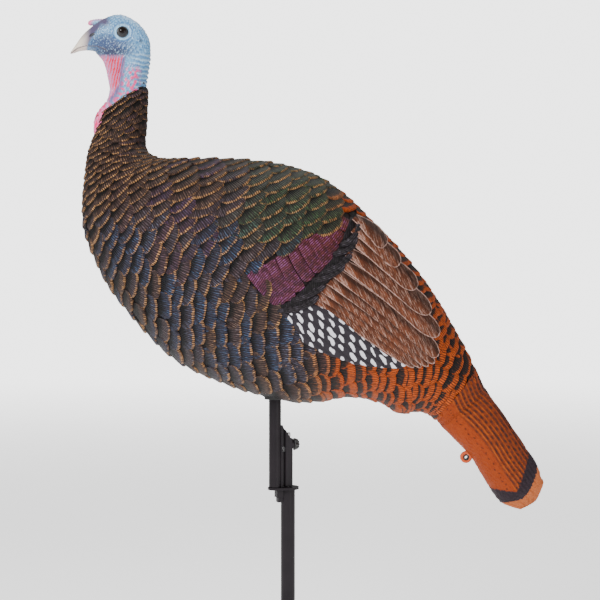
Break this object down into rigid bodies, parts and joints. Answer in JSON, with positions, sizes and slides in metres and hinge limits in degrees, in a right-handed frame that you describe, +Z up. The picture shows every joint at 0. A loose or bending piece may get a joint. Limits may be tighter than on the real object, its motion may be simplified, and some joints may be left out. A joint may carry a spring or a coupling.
{
  "type": "turkey decoy",
  "caption": "Standing hen turkey decoy with a hollow feathered body, bare head and folded tail, turning freely on a ground stake with a clamped upper rod.",
  "frame": {"origin": "on the lower tube's axis, at the soil line", "axes": "+Z up along the stake; -X the way the bird faces; +Y the bird's right side"},
  "size_m": [0.5294, 0.198, 0.9108],
  "materials": {
    "powder_coat": "satin black powder coat",
    "plated_steel": "zinc plated",
    "black_nylon": "moulded satin",
    "black_rubber": "matte",
    "feathered_rubber": "moulded feather relief, painted dark brown with tan edges",
    "painted_head": "moulded skin, painted light blue and pink",
    "painted_tail": "moulded feather relief, painted rust with a black band",
    "eye_glass": "polished black"
  },
  "bodies": {
    "ground_stake": {"lower_tube": "powder_coat", "spike_point": "powder_coat", "guide_post": "plated_steel", "post_collar_upper": "powder_coat", "post_collar_lower": "powder_coat", "foot_rest": "powder_coat"},
    "upper_stake": {"upper_rod": "powder_coat", "rod_tip": "black_nylon", "foot_plate": "powder_coat", "clamp_sleeve": "powder_coat"},
    "screw_carriage": {"pressure_pad": "black_nylon"},
    "thumbscrew": {"thumbscrew_shank": "plated_steel", "thumbscrew_knob": "black_nylon"},
    "swivel": {"swivel_bush": "black_nylon"},
    "decoy": {"belly_grommet": "black_nylon", "stake_socket": "black_nylon", "socket_cap": "black_nylon", "body_shell": "feathered_rubber", "valve_seat": "black_nylon", "head": "painted_head", "left_eye": "eye_glass", "right_eye": "eye_glass", "tail_fan": "painted_tail", "tail_eyelet": "painted_tail"},
    "valve": {"valve_plug": "black_rubber"}
  },
  "joints": [
    {"name": "stake_lift", "type": "slide", "parent": "ground_stake", "child": "upper_stake", "axis": [0, 0, 1], "range_m": [0, 0.055]},
    {"name": "pad_travel", "type": "slide", "parent": "upper_stake", "child": "screw_carriage", "axis": [0.9336, 0.3584, 0], "range_m": [0, 0.0014]},
    {"name": "thumbscrew_turn", "type": "hinge", "parent": "screw_carriage", "child": "thumbscrew", "pos_m": [0.006, 0.0023, 0.1995], "axis": [0.9336, 0.3584, 0], "range_deg": [0, 720]},
    {"name": "decoy_lift", "type": "slide", "parent": "upper_stake", "child": "swivel", "axis": [0, 0, 1], "range_m": [0, 0.19]},
    {"name": "decoy_swivel", "type": "hinge", "parent": "swivel", "child": "decoy", "pos_m": [-0.01438, -0.00552, 0.3], "axis": [0, 0, 1], "continuous": true},
    {"name": "valve_pull", "type": "slide", "parent": "decoy", "child": "valve", "axis": [0, 0, -1], "range_m": [0, 0.014]}
  ],
  "couplings": [
    {"joint": "thumbscrew_turn", "follows": "pad_travel", "rad_per_m": 8975.9}
  ]
}
